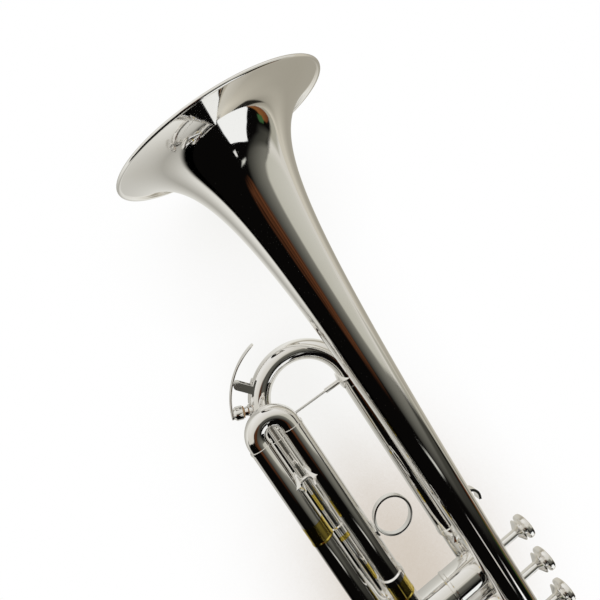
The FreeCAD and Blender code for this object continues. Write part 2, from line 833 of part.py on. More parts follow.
def make_thumb_saddle():
    x = first_joint + 5.6
    base = first_upper_z + tube_radius + solder
    centre = base + 1.2 + saddle_inner + 1.6
    width = 7.0
    top = centre + 9.0
    outer = saddle_inner + 1.6
    left = first_y + saddle_inner + 0.8
    right = first_y - saddle_inner - 0.8
    bottom = centre - outer + 0.8
    path = [V(x, left, top), V(x, left, bottom), V(x, right, bottom), V(x, right, top)]

    def section(point, normal):
        across = normal.cross(X) * 0.8
        side = X * (width / 2)
        corners = [point + across + side, point - across + side]
        corners += [point - across - side, point + across - side]
        return Part.Face(Part.makePolygon(corners + [corners[0]]))
    bend = saddle_inner + 0.8 - 0.001
    cradle = bent(section, path, [bend, bend])
    foot = diamond_foot(V(x, first_y, first_upper_z), Z, tube_radius, 9.0, 8.0)
    post = cylinder(V(x, first_y, base + 0.4), Z, 2.2, 1.6)
    return fuse([cradle, foot, post])


# ---- second slide ----

second_high = V(valve_2_x, second_joint, second_upper_z)
second_low = V(valve_2_x, second_joint, second_lower_z)
second_legs = [
    (second_high, V(valve_2_x, second_ring_y, second_upper_z)),
    (second_low, V(valve_2_x, second_ring_y, second_lower_z)),
]


def make_second_bow():
    shape = bow(second_low, second_high, -Y, 1.0, bow_radius, bore_radius)
    middle = (second_high + second_low) * 0.5
    crown = middle - Y * (1.0 + (second_high - second_low).Length / 2 + bow_radius)
    profile = [(0, -0.6), (1.6, -0.6), (1.6, 1.6), (2.6, 2.4), (2.8, 3.4), (2.2, 4.4), (0, 4.4)]
    return fuse([shape, lathe(profile, crown, -Y)])


# ---- pinky hook ----

def make_pinky_hook():
    low = tube_radius + 0.45 + hook_lift
    front = hook_foot_x + hook_forward
    high = low + hook_height
    rear = V(hook_foot_x - 2, 0, low - 0.6)
    path = [rear, V(front - 0.5, 0, low), V(front, 0, high), V(front - 10.0, 0, high - 3.6)]
    strip = bent(bar_section(hook_thickness, hook_width), path, [10.0, 6.0])
    foot = diamond_foot(V(hook_foot_x + 0.5, 0, 0), Z, slide_radius, 10.0, 8.0)
    post_base = slide_radius + solder + 0.4
    post = cylinder(V(hook_foot_x + 0.5, 0, post_base), Z, 2.4, low - post_base - 0.6)
    return fuse([strip, foot, post])


# ---- build ----

os.makedirs("parts", exist_ok=True)

save("bell", make_bell())
save("bell_rim_wire", make_rim_wire())
save("bell_bow", make_bell_bow())
save("bell_bow_ferrules", make_bell_bow_ferrules())
save("bell_tail", make_bell_tail())
save("leadpipe", make_leadpipe())
save("mouthpiece_receiver", make_receiver())

for index in range(3):
    label = "valve_" + str(index + 1)
    save(label + "_casing", make_casing(index))
    save(label + "_piston", make_piston(index))
    save(label + "_spring", make_spring(index))
    save(label + "_stem", make_stem(index))
    save(label + "_button", make_button(index))
    save(label + "_pearl", make_pearl(index))

save("valve_crossovers", group([make_crossover(0), make_crossover(1)]))
save("top_caps", group([make_top_cap(i) for i in range(3)]))
save("bottom_caps", group([make_bottom_cap(i) for i in range(3)]))
save("cap_felts", group([make_cap_felt(i) for i in range(3)]))
save("valve_guides", group([make_guide(i) for i in range(3)]))

save("tuning_lower_outer_tube", make_tuning_outer())
save("tuning_bow", make_tuning_bow())
upper_rear = V(upper_leg_rear, 0, 0)
upper_collar = tube_radius + 0.45
save("tuning_upper_outer_tube", sleeve(tuning_high, upper_rear, 3.8, upper_collar, fit_radius, tube_radius))
save("tuning_lower_inner_tube", leg(tuning_low, V(tuning_ring_x, 0, tuning_z), tuning_insert))
lower_collar = tube_radius + 0.6
lower_fit = slide_radius + solder
save("tuning_lower_sleeve", sleeve(tuning_low, tuning_ring_end, tuning_collar, lower_collar, lower_fit))
save("tuning_slide_brace", make_tuning_brace())
save("water_key_nipple", make_nipple())
save("water_key_saddle", make_saddle())
save("water_key_screw", make_hinge_screw())
save("water_key_spring", make_key_spring())
save("water_key_lever", make_lever())
save("water_key_cork", make_cork())

rings = [end_ring(V(tuning_ring_x, 0, tuning_z), X, tuning_ring_length, ring_radius - 0.2, ring_radius)]
for joint, ring_start in third_legs:
    rings.append(end_ring(ring_start, X, third_ring_length, ring_radius - 0.2, ring_radius))
for joint, ring_start in first_legs:
    rings.append(end_ring(ring_start, -X, short_ring_length, ring_radius - 0.2, ring_radius))
for joint, ring_start in second_legs:
    rings.append(end_ring(ring_start, -Y, short_ring_length, ring_radius - 0.2, ring_radius))
save("slide_end_rings", group(rings))

third_ends = [start + X * third_ring_length for joint, start in third_legs]
third_inserts = [third_upper_insert, third_lower_insert]
save("third_outer_tubes", group([slide_outer(2, third_legs[i][1], third_inserts[i]) for i in range(2)]))
third_inners = [leg(third_legs[i][0], third_legs[i][1], third_inserts[i]) for i in range(2)]
save("third_inner_tubes", group(third_inners))
save("third_slide_sleeves", group([
    sleeve(third_high, third_ends[0], 4.5, tube_radius + 0.9, slide_radius + solder),
    sleeve(third_low, third_ends[1], 0, tube_radius, slide_radius + solder),
]))
save("third_bow", bow(third_low, third_high, X, third_straight, bow_radius, bore_radius))
brace_high = V(third_brace_x, third_y, third_upper_z)
brace_low = V(third_brace_x, third_y, third_lower_z)
save("third_slide_brace", brace(brace_low, tube_radius, brace_high, tube_radius, 12.0, 12.4, 1.3))
save("finger_ring", make_finger_ring())

first_ends = [start - X * short_ring_length for joint, start in first_legs]
save("first_outer_tubes", group([slide_outer(0, start, first_insert) for joint, start in first_legs]))
save("first_inner_tubes", group([leg(joint, start, first_insert) for joint, start in first_legs]))
save("first_slide_sleeves", group([
    sleeve(first_legs[i][0], first_ends[i], 0, tube_radius, slide_radius + solder) for i in range(2)
]))
save("first_bow", bow(first_low, first_high, -X, 1.0, bow_radius, bore_radius))
save("thumb_saddle", make_thumb_saddle())

save("second_outer_tubes", group([slide_outer(1, start, second_insert) for joint, start in second_legs]))
save("second_inner_tubes", group([leg(joint, start, second_insert) for joint, start in second_legs]))
save("second_bow", make_second_bow())

bell_axis_front = V(front_brace_x, bell_y, bell_z)
bell_axis_rear = V(rear_brace_x, bell_y, bell_z)
front_bell_radius = flare_radius(overall_length - front_brace_x - foot_length / 2)
rear_bell_radius = flare_radius(overall_length - rear_brace_x - foot_length / 2)
save("front_bell_brace", brace(V(front_brace_x, 0, 0), slide_radius, bell_axis_front, front_bell_radius,
                               foot_length, foot_width, brace_rod_radius))
save("rear_bell_brace", brace(V(rear_brace_x, 0, 0), 5.9, bell_axis_rear, rear_bell_radius,
                              foot_length, foot_width, brace_rod_radius))
save("pinky_hook", make_pinky_hook())
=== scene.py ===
# B flat trumpet: finishes, fine shapes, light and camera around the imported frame.
import bpy
import bmesh
import json
import math
import numpy as np
from mathutils import Matrix, Vector


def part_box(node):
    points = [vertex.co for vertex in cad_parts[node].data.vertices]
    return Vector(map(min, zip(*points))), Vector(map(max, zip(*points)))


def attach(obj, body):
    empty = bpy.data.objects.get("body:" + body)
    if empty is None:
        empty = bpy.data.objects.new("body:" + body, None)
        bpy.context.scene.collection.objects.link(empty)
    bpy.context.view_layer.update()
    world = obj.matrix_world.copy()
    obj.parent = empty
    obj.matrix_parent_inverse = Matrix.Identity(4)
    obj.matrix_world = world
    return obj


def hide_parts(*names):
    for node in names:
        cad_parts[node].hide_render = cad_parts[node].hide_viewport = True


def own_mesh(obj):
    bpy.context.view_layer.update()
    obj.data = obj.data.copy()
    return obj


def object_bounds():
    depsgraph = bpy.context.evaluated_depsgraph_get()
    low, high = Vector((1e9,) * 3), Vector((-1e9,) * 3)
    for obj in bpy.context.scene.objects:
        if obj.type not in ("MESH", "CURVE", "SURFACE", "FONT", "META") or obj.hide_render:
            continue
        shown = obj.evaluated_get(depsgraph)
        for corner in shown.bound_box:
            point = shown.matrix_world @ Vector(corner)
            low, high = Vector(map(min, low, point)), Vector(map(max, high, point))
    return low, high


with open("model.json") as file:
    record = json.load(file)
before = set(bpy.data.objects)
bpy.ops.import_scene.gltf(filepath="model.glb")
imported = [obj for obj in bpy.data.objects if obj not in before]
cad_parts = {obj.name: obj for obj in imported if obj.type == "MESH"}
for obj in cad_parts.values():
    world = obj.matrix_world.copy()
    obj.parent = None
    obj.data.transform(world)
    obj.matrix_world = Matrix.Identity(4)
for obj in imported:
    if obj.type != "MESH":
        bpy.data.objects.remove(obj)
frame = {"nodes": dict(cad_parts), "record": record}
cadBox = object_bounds()
mm = 0.001
print("frame loaded:", len(frame["nodes"]), "nodes")


class Sock:
    # Wraps an output socket, so that an expression on values adds its Math nodes.
    def __init__(self, graph, socket):
        self.graph = graph
        self.socket = socket

    def math(self, operation, other):
        return self.graph.node("ShaderNodeMath", {"operation": operation}, {0: self, 1: other})

    def __add__(self, other):
        return self.math("ADD", other)

    __radd__ = __add__

    def __mul__(self, other):
        return self.math("MULTIPLY", other)

    __rmul__ = __mul__


class Graph:
    # The nodes of a material or a world. Every new node comes from the method called node.
    def __init__(self, owner):
        owner.use_nodes = True
        self.tree = owner.node_tree

    def feed(self, target, value):
        # Links an output to a socket or sets its constant; a color comes without its alpha.
        if isinstance(value, Sock):
            self.tree.links.new(value.socket, target)
        else:
            target.default_value = (*value, 1.0) if target.type == "RGBA" else value

    def node(self, kind, settings=None, sockets=None, output=0):
        # Settings are set first, then the values or links of the sockets, by name or by place.
        made = self.tree.nodes.new(kind)
        for key, value in (settings or {}).items():
            setattr(made, key, value)
        for key, value in (sockets or {}).items():
            self.feed(made.inputs[key], value)
        return Sock(self, made.outputs[output])

    def mixColor(self, factor, first, second):
        return self.node("ShaderNodeMix", {"data_type": "RGBA"}, {0: factor, 6: first, 7: second}, 2)

    def mixShader(self, factor, first, second):
        return self.node("ShaderNodeMixShader", {}, {0: factor, 1: first, 2: second})

    def show(self, shader):
        self.feed(self.tree.nodes["Material Output"].inputs[0], shader)


class Finish(Graph):
    # A Principled material with patterns on Object coordinates.
    def __init__(self, name, color, metallic, roughness):
        self.material = bpy.data.materials.new(name)
        super().__init__(self.material)
        self.shader = self.tree.nodes["Principled BSDF"]
        self.put("Base Color", color)
        self.put("Metallic", metallic)
        self.put("Roughness", roughness)
        self.place = self.node("ShaderNodeTexCoord", output="Object")

    def put(self, socket, value):
        self.feed(self.shader.inputs[socket], value)

    def noise(self, scale, detail, stretch=(1.0, 1.0, 1.0)):
        place = self.node("ShaderNodeMapping", {}, {"Vector": self.place, "Scale": stretch})
        return self.node("ShaderNodeTexNoise", {}, {"Vector": place, "Scale": scale, "Detail": detail})

    def band(self, value, low, high):
        # A smooth step from 0 at low to 1 at high.
        return self.node("ShaderNodeMapRange", {"interpolation_type": "SMOOTHSTEP"},
                         {"Value": value, "From Min": low, "From Max": high})

    def bump(self, height, strength, distance):
        sockets = {"Height": height, "Strength": strength, "Distance": distance}
        self.put("Normal", self.node("ShaderNodeBump", {}, sockets))


# Metals: a clear color, a haze that dulls it in soft clouds, and fine scuffs drawn along X.
metalPattern = {
    "cloudScale": 28.0, "cloudDetail": 5.0, "cloudBand": (0.52, 0.78), "cloudTint": 0.35,
    "cloudRoughness": 0.05, "scuffScale": 900.0, "scuffDetail": 2.0, "scuffStretch": (0.12, 1.0, 1.0),
    "scuffBand": (0.62, 0.80),
}
metalLooks = {
    "silver_plate": {"name": "silverPlate", "color": (0.93, 0.92, 0.905), "haze": (0.86, 0.835, 0.79),
                     "roughness": 0.045, "scuff": 0.07},
    "bare_brass": {"name": "polishedBrass", "color": (0.86, 0.67, 0.15), "haze": (0.64, 0.47, 0.09),
                   "roughness": 0.11, "scuff": 0.10},
    "inner_tube_brass": {"name": "drawnTube", "color": (0.80, 0.77, 0.70), "haze": (0.66, 0.60, 0.50),
                         "roughness": 0.16, "scuff": 0.12},
    "piston_nickel": {"name": "lappedNickel", "color": (0.70, 0.69, 0.66), "haze": (0.58, 0.56, 0.52),
                      "roughness": 0.20, "scuff": 0.10},
    "spring_steel": {"name": "springWire", "color": (0.60, 0.60, 0.60), "haze": (0.45, 0.43, 0.40),
                     "roughness": 0.25, "scuff": 0.10},
    "rim_wire": {"name": "rimWire", "color": (0.83, 0.62, 0.30), "haze": (0.66, 0.46, 0.20),
                 "roughness": 0.25, "scuff": 0.10},
}


def metalFinish(look, pattern=metalPattern):
    made = Finish(look["name"], look["color"], 1.0, look["roughness"])
    clouds = made.noise(pattern["cloudScale"], pattern["cloudDetail"])
    fine = made.noise(pattern["scuffScale"], pattern["scuffDetail"], pattern["scuffStretch"])
    haze = made.band(clouds, *pattern["cloudBand"])
    scuffs = made.band(fine, *pattern["scuffBand"])
    made.put("Base Color", made.mixColor(haze * pattern["cloudTint"], look["color"], look["haze"]))
    made.put("Roughness", haze * pattern["cloudRoughness"] + scuffs * look["scuff"] + look["roughness"])
    return made.material


# Pearl, cork, felt and nylon: a grain that changes color and roughness in spots and raises the surface.
grainPattern = {"detail": 6.0, "band": (0.42, 0.68), "roughness": 0.12, "strength": 0.35}
grainLooks = {
    "pearl": {"name": "motherOfPearl", "color": (0.92, 0.91, 0.88), "spots": (0.80, 0.84, 0.83),
              "roughness": 0.14, "scale": 260.0, "depth": 0.00002},
    "cork": {"name": "pressedCork", "color": (0.62, 0.42, 0.24), "spots": (0.36, 0.21, 0.11),
             "roughness": 0.80, "scale": 900.0, "depth": 0.0002},
    "felt": {"name": "denseFelt", "color": (0.86, 0.84, 0.80), "spots": (0.74, 0.71, 0.66),
             "roughness": 0.95, "scale": 2200.0, "depth": 0.0002},
    "guide_nylon": {"name": "nylonGuide", "color": (0.88, 0.86, 0.80), "spots": (0.80, 0.77, 0.70),
                    "roughness": 0.45, "scale": 300.0, "depth": 0.00003},
}


def grainFinish(look, pattern=grainPattern):
    made = Finish(look["name"], look["color"], 0.0, look["roughness"])
    grain = made.noise(look["scale"], pattern["detail"])
    spots = made.band(grain, *pattern["band"])
    made.put("Base Color", made.mixColor(spots, look["color"], look["spots"]))
    made.put("Roughness", spots * pattern["roughness"] + look["roughness"])
    made.bump(grain, pattern["strength"], look["depth"])
    return made.material


finishes = {slotName: metalFinish(look) for slotName, look in metalLooks.items()}
finishes.update({slotName: grainFinish(look) for slotName, look in grainLooks.items()})
slotOf = {row["node"]: row["material_slot"] for row in frame["record"]["subparts"]}
for nodeName, nodeObject in frame["nodes"].items():
    nodeObject.data.materials.clear()
    nodeObject.data.materials.append(finishes[slotOf[nodeName]])
print("finishes made:", len(finishes))

mergeDistance = 1e-7  # points nearer than this become one


def gridPiece(name, grid, closeRows, closeColumns):
    # A grid of points, rows by columns, as quads; either direction can close on itself.
    rows, columns = grid.shape[:2]
    index = np.arange(rows * columns).reshape(rows, columns)
    down = np.roll(index, -1, 0) if closeRows else index[1:]
    here = index if closeRows else index[:-1]
    if closeColumns:
        quads = np.stack([here, np.roll(here, -1, 1), np.roll(down, -1, 1), down], -1)
    else:
        quads = np.stack([here[:, :-1], here[:, 1:], down[:, 1:], down[:, :-1]], -1)
    mesh = bpy.data.meshes.new(name)
    mesh.from_pydata(grid.reshape(-1, 3).tolist(), [], quads.reshape(-1, 4).tolist())
    mesh.shade_smooth()
    made = bpy.data.objects.new(name, mesh)
    bpy.context.collection.objects.link(made)
    return made


def closedPiece(name, grid, closeRows, slotName):
    # A grid that closes round its columns, with its poles joined, its faces outwards and its finish on.
    made = gridPiece(name, grid, closeRows, True)
    mesh = bmesh.new()
    mesh.from_mesh(made.data)
    bmesh.ops.remove_doubles(mesh, verts=mesh.verts, dist=mergeDistance)
    bmesh.ops.recalc_face_normals(mesh, faces=mesh.faces)
    mesh.to_mesh(made.data)
    mesh.free()
    made.data.shade_smooth()
    made.data.materials.append(finishes[slotName])
    return made


def turnedPiece(name, along, radius, base, axis, around):
    # A closed loop of (distance along the axis, radius), turned round the axis through base:
    # base plus distance times axis plus radius times (cosine times side plus sine times other side).
    angle = np.linspace(0.0, 2.0 * np.pi, around, endpoint=False)
    axis = np.array(axis, float)
    side = np.cross(axis, (0.0, 0.0, 1.0) if abs(axis[2]) < 0.5 else (1.0, 0.0, 0.0))
    side /= np.linalg.norm(side)
    other = np.cross(axis, side)
    ring = np.cos(angle)[:, None] * side + np.sin(angle)[:, None] * other
    grid = np.array(base) + along[:, None, None] * axis + radius[:, None, None] * ring
    return closedPiece(name, grid, True, "silver_plate")


# Lead, floor, curl and curlReach are in millimetres, the other lengths here and below in metres.
bellShape = {
    "length": 0.4842, "diameter": 0.1222, "axis": (0.0394, 0.0059), "stemEnd": 0.088, "wall": 0.00055,
    "lead": 6.6, "power": 0.475, "floor": -0.88, "bead": 0.00095, "curl": 0.35, "curlReach": 0.6,
    "stations": 150, "crowding": 2.6, "beadSteps": 30, "beadGap": 1.02, "around": 256,
}


def flareRadius(depth, look=bellShape):
    # Floor plus scale over (depth plus lead) to the power, in millimetres, with the scale that gives
    # the rim its diameter. The depth is cut by the curl, which fades from the rim within curlReach.
    inMm = depth / mm
    scale = (look["diameter"] / 2 / mm - look["floor"]) * look["lead"] ** look["power"]
    curl = look["curl"] * np.exp(-(inMm - look["wall"] / mm) / look["curlReach"])
    return (look["floor"] + scale / (inMm - curl + look["lead"]) ** look["power"]) * mm


def makeBell(look=bellShape):
    # One profile turned round the bell's axis: the flare from stem to rim, a circular arc for the
    # rolled bead, and the flare again, moved one wall along its normal. Stations crowd at the rim.
    stem = look["length"] - look["stemEnd"]
    share = np.linspace(0.0, 1.0, look["stations"])
    depth = look["wall"] + (stem - look["wall"]) * share ** look["crowding"]
    radius = flareRadius(depth)
    slope = np.gradient(radius, depth)
    unit = np.hypot(1.0, slope)
    outer = np.stack([look["length"] - depth, radius], -1)
    inner = np.stack([outer[:, 0] - slope / unit * look["wall"], radius - look["wall"] / unit], -1)
    inner[-1, 0] = look["stemEnd"]
    centre = np.array([look["length"] - look["bead"], look["diameter"] / 2 - look["bead"]])
    clear = look["bead"] * look["beadGap"]
    outer, inner = (row[np.linalg.norm(row - centre, axis=1) > clear] for row in (outer, inner))
    first, last = (math.atan2(*(row[0] - centre)[::-1]) for row in (outer, inner))
    first += 2.0 * np.pi if first < last else 0.0
    turn = np.linspace(first, last, look["beadSteps"])
    bead = centre + look["bead"] * np.stack([np.cos(turn), np.sin(turn)], -1)
    along, radius = np.concatenate([outer[::-1], bead, inner]).T
    made = turnedPiece("silverBell", along, radius, (0.0, *look["axis"]), (1.0, 0.0, 0.0), look["around"])
    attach(made, "trumpet")
    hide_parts("bell")


makeBell()
print("bell made")

# Knurls are pressed in where the wall lies within deepest of the radius. Where it lies within slack of it,
# a side longer than longSide is split into parts.
capShape = {
    "valves": (0.128, 0.155, 0.182), "valveY": 0.018, "radius": 0.0112, "inner": 0.01025, "bore": 0.0087,
    "casingTop": 0.008, "barrelTop": 0.010, "casingBottom": -0.100, "pistonBottom": -0.086, "stroke": 0.017,
    "skirt": 0.005, "roof": 0.0015, "gap": 0.00005, "round": 0.00025,
    "teeth": 54, "perTooth": 6, "toothDepth": 0.00028, "toothFade": 0.0004, "toothEdge": 0.0008,
    "deepest": 0.0003, "parts": 7, "longSide": 0.0012, "slack": 1e-5,
}


def softened(points, rounding, steps=4, most=0.4):
    # Each corner of a closed outline becomes a quadratic curve with its control point in the corner,
    # which leaves each side by the rounding, but by no more than most of that side.
    points = np.array(points, float)
    before = np.roll(points, 1, 0) - points
    after = np.roll(points, -1, 0) - points
    lengths = [np.linalg.norm(side, axis=1, keepdims=True) for side in (before, after)]
    starts, ends = (points + side / length * np.minimum(rounding, length * most)
                    for side, length in zip((before, after), lengths))
    share = np.linspace(0.0, 1.0, steps)[:, None, None]
    curve = (1 - share) ** 2 * starts + 2 * share * (1 - share) * points + share ** 2 * ends
    return curve.transpose(1, 0, 2).reshape(-1, 2)


def divided(outline, look=capShape):
    # The long sides that carry the knurls, split into equal parts; the other sides stay whole.
    step = np.roll(outline, -1, 0) - outline
    outermost = np.maximum(outline[:, 0], np.roll(outline[:, 0], -1))
    knurled = (np.abs(step[:, 1]) > look["longSide"]) & (outermost > look["radius"] - look["slack"])
    parts = np.where(knurled, look["parts"], 1)
    side = np.repeat(np.arange(len(parts)), parts)
    share = (np.arange(len(side)) - (np.cumsum(parts) - parts)[side]) / parts[side]
    return outline[side] + step[side] * share[:, None]


def knurledCaps(name, outline, low, high, look=capShape):
    # The outline of (radius, height) turned round each valve, with straight knurls between two heights:
    # radius less depth times the square of the cosine of half the tooth angle, faded at both ends.
    radius, height = divided(softened(outline, look["round"])).T
    angle = np.linspace(0.0, 2 * np.pi, look["teeth"] * look["perTooth"], endpoint=False)
    inside = np.clip((height - low) / look["toothFade"], 0.0, 1.0)
    inside = inside * np.clip((high - height) / look["toothFade"], 0.0, 1.0)
    inside = inside * (radius > look["radius"] - look["deepest"])
    tooth = look["toothDepth"] * inside[:, None] * np.cos(angle * look["teeth"] / 2) ** 2
    reach = radius[:, None] - tooth
    for number, x in enumerate(look["valves"], 1):
        y = look["valveY"] + reach * np.sin(angle)
        grid = np.stack([x + reach * np.cos(angle), y, height[:, None] + 0.0 * reach], -1)
        yield closedPiece(f"{name}{number}", grid, True, "silver_plate")


topCapShape = {
    "ceiling": 0.0034, "hole": 0.0028, "flat": 0.007, "slopeStart": 0.0004, "slopeEnd": 0.0016,
    "slopeWidth": 0.0012, "toothTop": 0.0024,
}


def makeTopCaps(look=capShape, top=topCapShape):
    # From the skirt's foot up the knurled wall, over the sloped shoulder to the stem's hole, and back.
    low = look["casingTop"] - look["skirt"]
    ceiling = look["barrelTop"] + top["ceiling"]
    roof = ceiling + look["roof"]
    seat = look["casingTop"] + look["gap"]
    outline = [
        (look["inner"], low), (look["radius"], low), (look["radius"], roof - top["slopeEnd"]),
        (look["radius"] - top["slopeWidth"], roof - top["slopeStart"]), (top["flat"], roof),
        (top["hole"], roof), (top["hole"], ceiling), (look["bore"], ceiling), (look["bore"], seat),
        (look["inner"], seat)]
    return list(knurledCaps("topCap", outline, low + look["toothEdge"], roof - top["toothTop"]))


bottomCapShape = {
    "room": 0.0012, "bevel": 0.0012, "bevelWidth": 0.001, "nipple": 0.0016, "nippleFoot": 0.0042,
    "nippleTip": 0.0036, "vent": 0.0024, "toothBottom": 0.0018,
}


def makeBottomCaps(look=capShape, bottom=bottomCapShape):
    # From the skirt's top down the knurled wall to the bevel, over the vent's nipple, and back inside.
    floor = look["pistonBottom"] - look["stroke"] - bottom["room"]
    base = floor - look["roof"]
    tip = base - bottom["nipple"]
    high = look["casingBottom"] + look["skirt"]
    seat = look["casingBottom"] - look["gap"]
    outline = [
        (look["inner"], high), (look["radius"], high), (look["radius"], base + bottom["bevel"]),
        (look["radius"] - bottom["bevelWidth"], base), (bottom["nippleFoot"], base),
        (bottom["nippleTip"], tip), (bottom["vent"], tip), (bottom["vent"], floor), (look["bore"], floor),
        (look["bore"], seat), (look["inner"], seat)]
    return list(knurledCaps("bottomCap", outline, base + bottom["toothBottom"], high - look["toothEdge"]))


for caps, node in ((makeTopCaps(), "top_caps"), (makeBottomCaps(), "bottom_caps")):
    for made in caps:
        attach(made, "trumpet")
    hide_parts(node)
print("caps made")

# The water key's lever is laid out round a centre in the bow: angles in degrees, from +X towards -Z,
# and reach, the distance from that centre.
leverShape = {
    "centre": (0.3314, 0.0, -0.0296), "reach": 0.0475, "hinge": 46.0, "hingeReach": 0.0444,
    "barrelStart": -0.0033, "barrelLength": 0.0035, "roundSteps": 6,
}


def sweptPiece(name, centres, sides, ups, widths, depths, lift=0.0, around=48):
    # Rings of a rounded box along a path: the square roots of cosine and sine, with their signs, times
    # half width and half depth. The lift crowns the upper face by one less the square of the width's share.
    angle = np.linspace(0.0, 2 * np.pi, around, endpoint=False)
    across = np.sign(np.cos(angle)) * np.abs(np.cos(angle)) ** 0.5
    upwards = np.sign(np.sin(angle)) * np.abs(np.sin(angle)) ** 0.5
    widths, depths = (np.array(row)[:, None] for row in (widths, depths))
    crown = lift * (1.0 - across ** 2) * (upwards > 0.0) * np.clip(depths / depths.max(), 0.0, 1.0)
    rise = upwards * depths + crown
    grid = centres[:, None] + sides[:, None] * (across * widths)[..., None] + ups[:, None] * rise[..., None]
    return closedPiece(name, grid, False, "silver_plate")


def leverFrames(angles, reach, look=leverShape):
    # Points round the lever's centre: up is (cosine, 0, minus sine) of the angle, and side is Y.
    turn = np.radians(angles)
    ups = np.stack([np.cos(turn), 0.0 * turn, -np.sin(turn)], -1)
    sides = np.broadcast_to([0.0, 1.0, 0.0], ups.shape)
    return np.array(look["centre"]) + ups * np.reshape(reach, (-1, 1)), sides, ups


# Tip, tail, tailRound, narrowFrom and narrowTo are in degrees.
strapShape = {
    "thickness": 0.0007, "crown": 0.00022, "tip": 17.0, "tail": 72.5, "tailRound": 2.5, "paddle": 0.0040,
    "strap": 0.0025, "narrowFrom": 25.0, "narrowTo": 36.0, "edge": 3.0, "endSteps": 12, "steps": 60,
}


def makeStrap(look=strapShape, reach=leverShape["reach"]):
    # Half width along the arc: the paddle's, easing by 3 t squared less 2 t cubed to the strap's, with
    # ends that round off by the square root of one less the square of the share gone into the end.
    ease = np.sin(np.linspace(0.0, np.pi / 2, look["endSteps"]))
    start = look["tip"] - np.degrees(look["paddle"] / reach)
    tailStart = look["tail"] - look["tailRound"]
    angles = np.concatenate([start + (look["tip"] - start) * (1.0 - np.cos(ease * np.pi / 2)),
                             np.linspace(look["tip"], tailStart, look["steps"])[1:],
                             tailStart + look["tailRound"] * ease[1:]])
    blend = np.clip((angles - look["narrowFrom"]) / (look["narrowTo"] - look["narrowFrom"]), 0.0, 1.0)
    blend = blend ** 2 * (3.0 - 2.0 * blend)
    widths = look["paddle"] + (look["strap"] - look["paddle"]) * blend
    front = np.clip((look["tip"] - angles) / (look["tip"] - start), 0.0, 1.0)
    back = np.clip((angles - look["tail"] + look["tailRound"]) / look["tailRound"], 0.0, 1.0)
    rounding = np.sqrt(np.clip(1.0 - front ** 2, 0.0, 1.0)) * np.sqrt(np.clip(1.0 - back ** 2, 0.0, 1.0))
    depths = look["thickness"] * np.clip(rounding * look["edge"], 0.0, 1.0)
    centres, sides, ups = leverFrames(angles, reach)
    return sweptPiece("leverStrap", centres, sides, ups, widths * rounding, depths, look["crown"])


lugShape = {"start": 0.0012, "width": 0.00185, "depth": 0.0017, "waist": 0.35, "steps": 20}


def makeLug(look=lugShape, lever=leverShape):
    # A waisted post from barrel to strap: full size less the waist's share of a sine, with closed ends.
    share = np.concatenate([[0.0], np.linspace(0.0, 1.0, look["steps"]), [1.0]])
    height = lever["reach"] - lever["hingeReach"] - look["start"]
    reach = lever["hingeReach"] + look["start"] + height * share
    centres, sides, ups = leverFrames(np.full(share.shape, lever["hinge"]), reach)
    centres = centres + np.array([0.0, lever["barrelStart"] + lever["barrelLength"] / 2, 0.0])
    waist = 1.0 - look["waist"] * np.sin(np.pi * share)
    waist[[0, -1]] = 0.0
    along = np.cross(ups, (0.0, 1.0, 0.0))
    return sweptPiece("leverLug", centres, sides, along, look["width"] * waist, look["depth"] * waist)


barrelShape = {"radius": 0.0023, "pin": 0.00105, "rounding": 0.00035, "around": 64}


def makeBarrel(look=barrelShape, lever=leverShape):
    # The hinge's barrel: a softened rectangle turned round the pin, which lies along Y.
    hinge = leverFrames(np.array([lever["hinge"]]), lever["hingeReach"])[0][0]
    base = hinge + (0.0, lever["barrelStart"], 0.0)
    length = lever["barrelLength"]
    outline = [(look["pin"], 0.0), (look["radius"], 0.0), (look["radius"], length), (look["pin"], length)]
    radius, height = softened(outline, look["rounding"], lever["roundSteps"]).T
    return turnedPiece("leverBarrel", height, radius, base, (0.0, 1.0, 0.0), look["around"])


cupShape = {
    "angle": 68.5, "rim": 0.0410, "radius": 0.0043, "inner": 0.00365, "floor": 0.0020, "shoulder": 0.0022,
    "slope": 0.0008, "slopeWidth": 0.0012, "pole": 0.00001, "rounding": 0.0003, "around": 72,
}


def makeCup(look=cupShape, lever=leverShape):
    # The cork's cup: from the rim up the wall, over the shoulder to the pole, and back along its floor.
    depth = lever["reach"] - look["rim"]
    outline = [
        (look["inner"], 0.0), (look["radius"], 0.0), (look["radius"], depth - look["shoulder"]),
        (look["radius"] - look["slopeWidth"], depth - look["slope"]), (look["pole"], depth),
        (look["pole"], look["floor"]), (look["inner"], look["floor"])]
    base, _, up = leverFrames(np.array([look["angle"]]), look["rim"])
    radius, height = softened(outline, look["rounding"], lever["roundSteps"]).T
    return turnedPiece("leverCup", height, radius, base[0], up[0], look["around"])


leverPieces = (makeStrap(), makeLug(), makeBarrel(), makeCup())
for made in leverPieces:
    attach(made, "water_key")
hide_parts("water_key_lever")
print("lever made")

springShape = {
    "turns": 6, "wire": 0.00042, "stroke": 0.017, "closed": 0.1, "closedRise": 0.015, "perTurn": 40,
    "around": 12,
}


